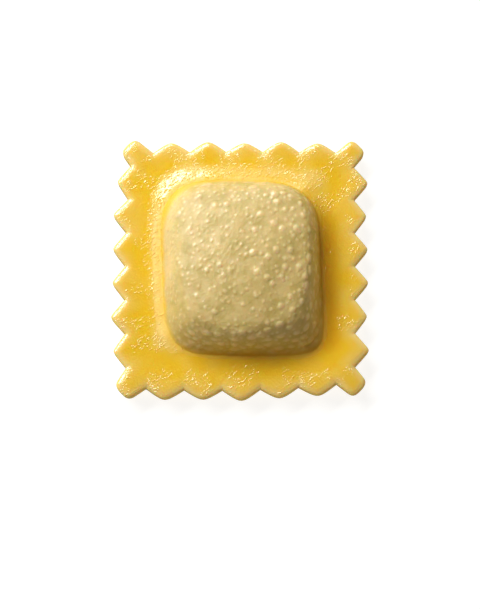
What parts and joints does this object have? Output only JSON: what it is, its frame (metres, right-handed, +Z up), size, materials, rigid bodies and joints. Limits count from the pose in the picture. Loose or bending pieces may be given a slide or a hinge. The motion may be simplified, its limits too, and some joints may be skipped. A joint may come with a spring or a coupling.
{
  "type": "ravioli",
  "caption": "Square filled pasta with a pinked rim, small tabs at its corners and a raised pocket of filling; rests on its belly.",
  "frame": {"origin": "on the resting surface, under the middle of the outline's box", "axes": "+Z up through the pocket, away from the surface; -Y is the front side and +X the right side, each a pinked side with a corner tab at both ends"},
  "size_m": [0.0454, 0.0466, 0.0121],
  "materials": {
    "egg_dough": "satin, moist"
  },
  "bodies": {
    "root": {"ravioli": "egg_dough"}
  },
  "joints": []
}
